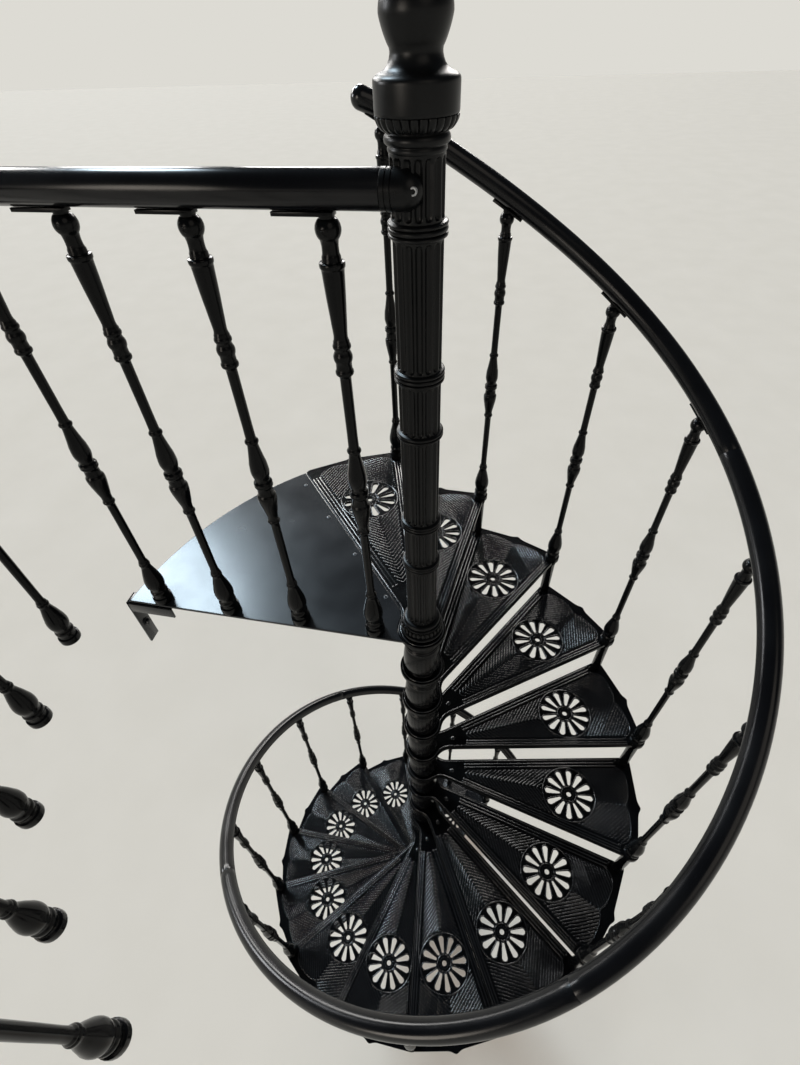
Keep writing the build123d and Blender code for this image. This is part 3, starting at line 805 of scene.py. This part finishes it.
railLevel = landingLevel + stair["levelRailHeight"]
reach = guard["radius"] - guard["corner"]
cornerY = landingEdge["lineY"] - guard["corner"]
cornerCentre = Vector((-sqrt(reach ** 2 - cornerY ** 2), cornerY, 0))
endLength, endGap = 44.0, 0.3  # of the casting between the landing's rail and the newel
bm = bmesh.new()
path = [Vector((x, landingEdge["lineY"], railLevel)) for x in (-endLength - endGap, cornerCentre.x)]
bentTube(bm, path, rail["radius"], 0, 0)
finishPiece("landing_rail", "tube", bm, railSteel)

bm = bmesh.new()
last = (guard["first"] + guard["bays"] * guard["pitch"] + guard["overrun"]) % 360
outward = degrees(atan2(cornerCentre.y, cornerCentre.x)) % 360
steps = guard["cornerSteps"]
path = [cornerCentre + polar(guard["corner"], 90 + (outward - 90) * n / steps, railLevel)
        for n in range(steps + 1)]
steps = guard["arcSteps"]
path += [polar(guard["radius"], outward + (last - outward) * n / steps, railLevel)
         for n in range(1, steps + 1)]
bentTube(bm, path, rail["radius"] - guard["trim"], 0, 0)
finishPiece("guard_rail", "tube", bm, railSteel)
print("rails bent")


# Newel

# A collar's half height, and the (offset, thickness) of its rings
threeRings = (12.0, [(-7.4, 5.6), (0, 8.0), (7.4, 5.6)])
twoRings = (8.0, [(-3.4, 5.6), (3.4, 5.6)])
newel = {
    "radius": 38.0, "flutes": 16, "fluteWidth": 10.4, "fluteDepth": 5.0, "steps": 192,
    "shaft": {62.0, 1086.0},
    "bays": [(66, 268), (296, 398), (426, 636), (652, 749), (777, 975), (1003, 1076)],  # fluted lengths
    "scallop": (-1, 0, 1, 2.5, 4.7, 8),  # cuts of the shaft inwards from a flute's end
    "collars": [(282.0, threeRings), (412.0, threeRings), (644.0, twoRings), (763.0, threeRings),
                (989.0, threeRings)],
    "collarRadius": 44.0, "collarFoot": 37.0,
    "foot": [
        (31, 12), (55.6, 12), (57, 13.4), (57.4, 16), (57, 19), (55.4, 20.6), (50.4, 21), (48.4, 23),
        (48.4, 41), (50.4, 43.4), (51.6, 44.4), (51.8, 46), (50.6, 47.6), (46, 48.6), (46, 50),
        (47.6, 51.4), (48.6, 53.6), (48.8, 56), (48.4, 58.8), (46.8, 61), (43, 62.4), (39, 63), (31, 63),
    ],
    "footBeads": 28, "footBead": (4.6, 4.5, 10.0), "footBeadRing": 51.0, "footBeadHeight": 32.0,
    "head": [
        (37, 1078), (38.6, 1079.4), (39.6, 1081.2), (39.6, 1084), (38.4, 1085.6), (38.2, 1086.6),
        (41, 1087.4), (43.2, 1089.4), (44, 1093), (43.2, 1096.6), (41.6, 1098.6), (40.4, 1099.8),
        (40.4, 1106), (43.4, 1116), (50, 1117.8), (53.6, 1118.2), (54.2, 1119.4), (54.4, 1121.6),
        (54.4, 1148.6), (54.2, 1151.4), (53.2, 1153.6), (50.8, 1155.6), (46.6, 1157.6), (42, 1159.4),
        (38.2, 1162), (35.2, 1165.6), (33.2, 1170), (32.2, 1174), (32, 1176.6),
    ],
    "ball": 43.8, "ballHeight": 1209.0, "ballDraw": 1.7,
    "button": [(12.4, 1252.4), (13, 1254), (13, 1261), (11, 1264), (0, 1265)],
    "lobes": 28, "lobeSteps": 8, "lobeDepth": 3.6,
    "bowl": [(41, 1101.6), (44, 1101.8), (46.6, 1103), (49.2, 1105.2), (51.6, 1108.4), (53.4, 1112),
             (54.3, 1115.2), (54.4, 1117.2), (52.6, 1118.2), (50, 1118.6)],  # (radius, height), lobed
}


def drawIn(vert, size):
    vert.co.x *= size
    vert.co.y *= size


def makeFlutedShaft():
    # Shaft whose flutes end in scallops beside each collar
    levels = set(newel["shaft"])
    for start, end in newel["bays"]:
        for inward in newel["scallop"]:
            levels |= {start + inward, end - inward}
    bm = turned([(newel["radius"], level) for level in sorted(levels)], newel["steps"])
    half = newel["fluteWidth"] / 2
    for vert in bm.verts:
        angle = (atan2(vert.co.y, vert.co.x) * newel["flutes"] / (2 * pi)) % 1 - 0.5
        across = angle * 2 * pi * newel["radius"] / newel["flutes"]
        for start, end in newel["bays"]:
            gap = min(vert.co.z - start, end - vert.co.z)
            if gap < 0:
                continue
            width = half if gap >= half else sqrt(max(0.0, half ** 2 - (half - gap) ** 2))
            if width > 0 and abs(across) < width:
                depth = newel["fluteDepth"] * sqrt(1 - (across / width) ** 2) * (width / half)
                drawIn(vert, (newel["radius"] - depth) / newel["radius"])
    return bm


def makeBowl():
    # Bowl of upright lobes with narrow slits between them
    bm = turned(newel["bowl"], newel["lobes"] * newel["lobeSteps"])
    for vert in bm.verts:
        across = (atan2(vert.co.y, vert.co.x) * newel["lobes"] / (2 * pi)) % 1 * 2 - 1
        fall = newel["lobeDepth"] * (1 - sqrt(1 - min(1.0, abs(across)) ** 2))
        drawIn(vert, 1 - fall / hypot(vert.co.x, vert.co.y))
    return bm


def collarOutline(centre, half, rings):
    points = [(newel["collarFoot"], centre - half)]
    for offset, thick in rings:
        for turn in range(-90, 91, 30):
            radius = newel["collarRadius"] + thick / 2 * (cos(radians(turn)) - 1)
            points.append((radius, centre + offset + thick / 2 * sin(radians(turn))))
    return points + [(newel["collarFoot"], centre + half)]


def makeNewel():
    bm = makeFlutedShaft()
    gather(bm, turned(newel["foot"], steps=64))
    drop = bmesh.new()
    bmesh.ops.create_uvsphere(drop, u_segments=10, v_segments=8, radius=1)
    bmesh.ops.scale(drop, vec=newel["footBead"], verts=drop.verts)
    for n in range(newel["footBeads"]):
        gather(bm, drop, stand(newel["footBeadRing"], 360 / newel["footBeads"] * n, newel["footBeadHeight"]))
    for centre, (half, rings) in newel["collars"]:
        gather(bm, turned(collarOutline(centre, half, rings), steps=48))
    head = list(newel["head"])
    lowest = 42  # degrees below the ball's middle, where it joins the neck
    for turn in range(-lowest, 74, 6):  # drawn in a little below its middle
        draw = newel["ballDraw"] * sin(radians(max(0, -turn) * 180 / lowest))
        head.append((newel["ball"] * cos(radians(turn)) - draw,
                     newel["ballHeight"] + newel["ball"] * sin(radians(turn))))
    gather(bm, turned(head + newel["button"], steps=64))
    gather(bm, makeBowl())
    bmesh.ops.translate(bm, vec=(0, 0, landingLevel), verts=bm.verts)
    bmesh.ops.recalc_face_normals(bm, faces=bm.faces)
    return bm


bm = makeNewel()
print("newel:", len(bm.faces), "faces")
finishPiece("newel", "fluted", bm, castIron, smooth=50)


# Rail end on the newel

railEnd = {
    "radius": 26.0, "setback": 11.0, "ease": 0.8,
    "grooves": (36.0, 28.0), "grooveWidth": 2.2, "grooveDepth": 1.4,
    "screwX": 2.3, "screwLift": 2.4, "screwSink": 21.4,
    "screw": [(0, -3), (3.1, -3), (3.1, 1.2), (3.5, 1.6), (4.8, 1.6), (5.4, 1.1), (5.6, 0.3), (5.6, -5),
              (0, -5), (0, -3)],
}
outline = [(0, 0), (railEnd["radius"] - railEnd["ease"], 0), (railEnd["radius"], railEnd["ease"])]
for groove in railEnd["grooves"]:
    middle, half = endLength - groove, railEnd["grooveWidth"] / 2
    for way, depth in ((-1, 0), (-0.5, 1), (0.5, 1), (1, 0)):
        outline.append((railEnd["radius"] - depth * railEnd["grooveDepth"], middle + way * half))
middle = endLength - railEnd["setback"]
for turn in range(0, 90, 6):
    outline.append((railEnd["radius"] * cos(radians(turn)), middle + railEnd["radius"] * sin(radians(turn))))
outline.append((0, middle + railEnd["radius"]))
bm = bmesh.new()
gather(bm, turned(outline, steps=48), Matrix.Translation((-endLength, landingEdge["lineY"], railLevel))
       @ Matrix.Rotation(pi / 2, 4, "Y"))
finishPiece("landing_rail_end", "casting", bm, castIron)

bm = bmesh.new()
seat = Vector((railEnd["screwX"], landingEdge["lineY"] - railEnd["screwSink"],
               railLevel + railEnd["screwLift"]))
gather(bm, turned(railEnd["screw"], steps=24), Matrix.Translation(seat) @ Matrix.Rotation(pi / 2, 4, "X"))
finishPiece("landing_rail_end", "screw", bm, brightSteel, replaces=False)


# Landing plate, the bar under its joint, and its screws

plate = {
    "thickness": 8.0, "outer": 813.0, "bulge": 824.0, "bulgeAzimuth": 156.0, "cornerX": -866.0, "joint": 0.4,
    "arcSteps": 60, "hubSteps": 16,
    "edge": [(2.6, 0), (1.8, 0), (0.5, -0.5), (0, -1.8), (0, -7.2), (0.8, -8)],  # (drawn in, height)
    "screws": [(747, 133.7), (548, 134.6), (348, 136.7), (150, 143.8)],  # (radius, azimuth)
    "screwLift": 0.2,
    "screw": [(0, -1.2), (2.6, -1.2), (2.9, 0.25), (5.8, 0.35), (6.4, 0.1), (6.6, -0.4), (0, -0.5)],
}
ledge = {"start": 130.0, "end": 790.0, "width": 40.0, "thickness": 6.0, "ease": 0.8}


def throughThree(first, middle, last, count):
    # Points on the circle through three points
    near, far = middle - first, last - first
    spread = 2 * (near.x * far.y - near.y * far.x)
    x = (far.y * near.length_squared - near.y * far.length_squared) / spread
    y = (near.x * far.length_squared - far.x * near.length_squared) / spread
    centre = first + Vector((x, y, 0))
    start, end = first - centre, last - centre
    swing = (atan2(end.y, end.x) - atan2(start.y, start.x)) % (2 * pi)
    return arcPoints(centre, start.length, atan2(start.y, start.x), atan2(start.y, start.x) + swing, count)


joint = stair["landingAzimuth"] + halfStep


def makeLandingPlate():
    lap = tread["rearLap"] + plate["joint"]
    along, across = polar(1, joint), polar(1, joint + 90)
    outer = along * sqrt(plate["outer"] ** 2 - lap ** 2) + across * lap
    corner = Vector((plate["cornerX"], landingEdge["edgeY"], 0))
    turn = Matrix.Rotation(radians(stair["landingAzimuth"]), 4, "Z")
    root = [turn @ point for point in rootArc(1, tread["rearLap"])]
    halfWay = tread["rootSteps"] // 2 + 1  # beyond it, the joint runs round the hub
    root = [point + (point.normalized() if n > halfWay else across) * plate["joint"]
            for n, point in enumerate(root)]
    clear = tread["rootRadius"] + plate["joint"]
    start = atan2(root[-1].y, root[-1].x)
    end = pi + asin(-landingEdge["edgeY"] / clear)
    hub = arcPoints(Vector(), clear, start, end, plate["hubSteps"])[1:]
    bulge = polar(plate["bulge"], plate["bulgeAzimuth"])
    outline = throughThree(outer, bulge, corner, plate["arcSteps"]) + hub[::-1] + root[::-1]
    bm = bmesh.new()
    top, under = grow(bm, [inset(outline, draw, height) for draw, height in plate["edge"]], caps=False)
    fillFaces(bm, top, under)
    bmesh.ops.translate(bm, vec=(0, 0, landingLevel), verts=bm.verts)
    return bm


finishPiece("landing_plate", "sheet", makeLandingPlate(), plateSteel)

bm = bmesh.new()
screw = turned(plate["screw"], steps=20)
for radius, azimuth in plate["screws"]:
    gather(bm, screw, place(*polar(radius, azimuth, landingLevel + plate["screwLift"])))
finishPiece("landing_plate", "screws", bm, screwSteel, replaces=False)

length = ledge["end"] - ledge["start"]
bar = block((length, ledge["width"], ledge["thickness"]), ledge["ease"])
bm = bmesh.new()
across = tread["rearLap"] + plate["joint"] + ledge["width"] / 2
gather(bm, bar, place(0, 0, landingLevel - plate["thickness"], joint)
       @ Matrix.Translation((ledge["start"] + length / 2, across, -ledge["thickness"] / 2)))
finishPiece("landing_ledge", "bar", bm, plateSteel)


# Corner bracket

bracket = {
    "iron": 6.0, "leg": 42.0, "length": 145.0, "drop": 200.0, "width": 40.0, "x": -880.0, "y": -56.0,
    "ease": 0.9, "boltY": 22.0, "boltDrop": 120.0, "bolt": (10.4, 9.0, 0.7), "boltMiddle": 6.5,
    "washer": [(0, -1), (13.4, -1), (14, -0.4), (14, 0.6), (13.4, 1), (0, 1)], "washerMiddle": 1.0,
}


def makeBracket():
    bm = bmesh.new()
    base = Matrix.Translation((bracket["x"], bracket["y"], landingLevel - plate["thickness"]))
    for size in ((bracket["length"], bracket["leg"], bracket["iron"]),
                 (bracket["length"], bracket["iron"], bracket["leg"]),
                 (bracket["iron"], bracket["width"], bracket["drop"])):
        spot = (size[0] / 2, size[1] / 2, -size[2] / 2)
        gather(bm, block(size, bracket["ease"]), base @ Matrix.Translation(spot))
    side = (base @ Matrix.Translation((bracket["iron"], bracket["boltY"], -bracket["boltDrop"]))
            @ Matrix.Rotation(pi / 2, 4, "Y"))
    washer, bolt = turned(bracket["washer"], steps=24), hexagonHead(*bracket["bolt"])
    gather(bm, washer, side @ Matrix.Translation((0, 0, bracket["washerMiddle"])))
    gather(bm, bolt, side @ Matrix.Translation((0, 0, bracket["boltMiddle"])))
    return bm


finishPiece("corner_bracket", "iron", makeBracket(), plateSteel)
print("landing ready")


# Base plate and column

base = {
    "disc": [(31, 0), (109, 0), (110, 1), (110, 10.6), (108.6, 12), (48, 12), (31, 12), (31, 0)],
    "washer": [(0, 0), (12.4, 0), (13, 0.5), (13, 2), (12.4, 2.5), (0, 2.5)],
    "boltRing": 85.0, "top": 12.0, "bolt": (11.0, 8.0, 0.8), "boltMiddle": 18.5,
    "boltTurns": (20, 51, 82, 113),  # as a spanner left them
}
bm = turned(base["disc"], steps=64)
washer = turned(base["washer"], steps=24)
bolt = hexagonHead(*base["bolt"])
for n, turn in enumerate(base["boltTurns"]):
    spot = polar(base["boltRing"], 45 + 90 * n, base["top"])
    gather(bm, washer, place(*spot, 45))
    gather(bm, bolt, place(spot.x, spot.y, base["boltMiddle"], turn))
finishPiece("base_plate", "disc", bm, plateSteel)

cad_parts["column_tube"].data.materials.clear()
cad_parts["column_tube"].data.materials.append(plateSteel)
print("base ready")


# Stage, light and camera

ground = {"size": 60.0, "drop": 0.0006, "roughness": 0.9, "shine": 0.1,  # size and drop in metres
          "deep": "#d1c8bc", "pale": "#dad1c6", "cloudsPerMetre": 1.4}


def makeFloor():
    bm = bmesh.new()
    bmesh.ops.create_grid(bm, x_segments=1, y_segments=1, size=ground["size"])
    mesh = bpy.data.meshes.new("studioFloor")
    bm.to_mesh(mesh)
    bm.free()
    floor = bpy.data.objects.new("studioFloor", mesh)
    floor.location.z = -ground["drop"]
    scene.collection.objects.link(floor)
    material = bpy.data.materials.new("paleFloor")
    material.use_nodes = True
    tree = material.node_tree
    shader = tree.nodes["Principled BSDF"]
    shader.inputs["Roughness"].default_value = ground["roughness"]
    shader.inputs["Specular IOR Level"].default_value = ground["shine"]
    spot = addNode(tree, "TexCoord", {}).outputs["Object"]
    cloud = addNode(tree, "TexNoise", {"Scale": ground["cloudsPerMetre"], "Detail": 4.0}, {"Vector": spot})
    tone = addNode(tree, "ValToRGB", {}, {"Fac": cloud.outputs["Fac"]})
    tone.color_ramp.elements[0].color = linear(ground["deep"])
    tone.color_ramp.elements[1].color = linear(ground["pale"])
    tree.links.new(tone.outputs["Color"], shader.inputs["Base Color"])
    mesh.materials.append(material)


makeFloor()

studio = {
    "low": "#cdc9c2", "high": "#4a4e53",  # room light near the horizon and overhead
    "fadeFrom": 0.02, "fadeTo": 0.26,  # height of the change, as the direction's Z
    "backdrop": "#dddbd4",  # what the camera sees past the floor
}
# Soft lamps far off, which light the floor evenly: (azimuth, elevation, strength, angle across, colour)
lamps = {
    "skylight": (139.0, 45.0, 2.2, 14.0, "#dcf1ff"),
    "farWindowA": (146.0, 20.0, 0.95, 15.0, "#fbf9f6"),
    "farWindowB": (126.0, 20.0, 0.95, 15.0, "#fbf9f6"),
    "farWindowC": (106.0, 20.0, 0.95, 15.0, "#fbf9f6"),
    "farWindowD": (86.0, 20.0, 0.85, 15.0, "#fdf9f4"),
    "leftWindow": (174.0, 12.0, 0.8, 14.0, "#f6f8fb"),
    "sideWindow": (238.0, 8.0, 0.8, 24.0, "#fff4e6"),
    "backFill": (312.0, 35.0, 0.3, 40.0, "#fff4e6"),
}


def makeWorld():
    world = bpy.data.worlds.new("softRoom")
    scene.world = world
    world.use_nodes = True
    tree = world.node_tree
    way = addNode(tree, "TexCoord", {}).outputs["Generated"]
    height = addNode(tree, "SeparateXYZ", {}, {"Vector": way}).outputs["Z"]
    fade = addNode(tree, "MapRange", {"interpolation_type": "SMOOTHSTEP", "From Min": studio["fadeFrom"],
                                      "From Max": studio["fadeTo"]}, {"Value": height})
    tone = addNode(tree, "ValToRGB", {}, {"Fac": fade.outputs["Result"]})
    tone.color_ramp.elements[0].color = linear(studio["low"])
    tone.color_ramp.elements[1].color = linear(studio["high"])
    seen = addNode(tree, "LightPath", {}).outputs["Is Camera Ray"]
    shown = addNode(tree, "Mix", {"data_type": "RGBA", 7: linear(studio["backdrop"])},
                    {0: seen, 6: tone.outputs["Color"]})
    tree.links.new(shown.outputs[2], tree.nodes["Background"].inputs["Color"])


def makeLamp(name, azimuth, elevation, strength, across, colour):
    light = bpy.data.lights.new(name, "SUN")
    light.energy = strength
    light.angle = radians(across)
    light.color = linear(colour)[:3]
    lamp = bpy.data.objects.new(name, light)
    towards = polar(cos(radians(elevation)), azimuth, sin(radians(elevation)))
    lamp.rotation_euler = (-towards).to_track_quat("-Z", "Y").to_euler()
    scene.collection.objects.link(lamp)


makeWorld()
for name, settings in lamps.items():
    makeLamp(name, *settings)

view = {"eye": (146.45, -830.54, 4632.9), "yaw": 103.22, "pitch": 44.86, "roll": -2.83,
        "focal": 526.92, "imageHeight": 1065, "sensor": 36.0,  # focal length in the photo's pixels
        "nearest": 0.02, "furthest": 200.0}  # metres


def makeCamera():
    yaw, pitch, roll = radians(view["yaw"]), radians(view["pitch"]), radians(view["roll"])
    ahead = Vector((cos(yaw) * cos(pitch), sin(yaw) * cos(pitch), -sin(pitch)))
    right = Vector((sin(yaw), -cos(yaw), 0))
    up = right.cross(ahead)
    right, up = right * cos(roll) + up * sin(roll), up * cos(roll) - right * sin(roll)
    data = bpy.data.cameras.new("photoCamera")
    data.sensor_fit = "VERTICAL"
    data.sensor_height = view["sensor"]
    data.lens = view["focal"] / view["imageHeight"] * view["sensor"]
    data.clip_start = view["nearest"]
    data.clip_end = view["furthest"]
    camera = bpy.data.objects.new("photoCamera", data)
    turn = Matrix((right, up, -ahead)).transposed().to_4x4()
    camera.matrix_world = Matrix.Translation(Vector(view["eye"]) / 1000) @ turn
    scene.collection.objects.link(camera)
    scene.camera = camera


makeCamera()
scene.view_settings.view_transform = "Standard"

print("scene ready")
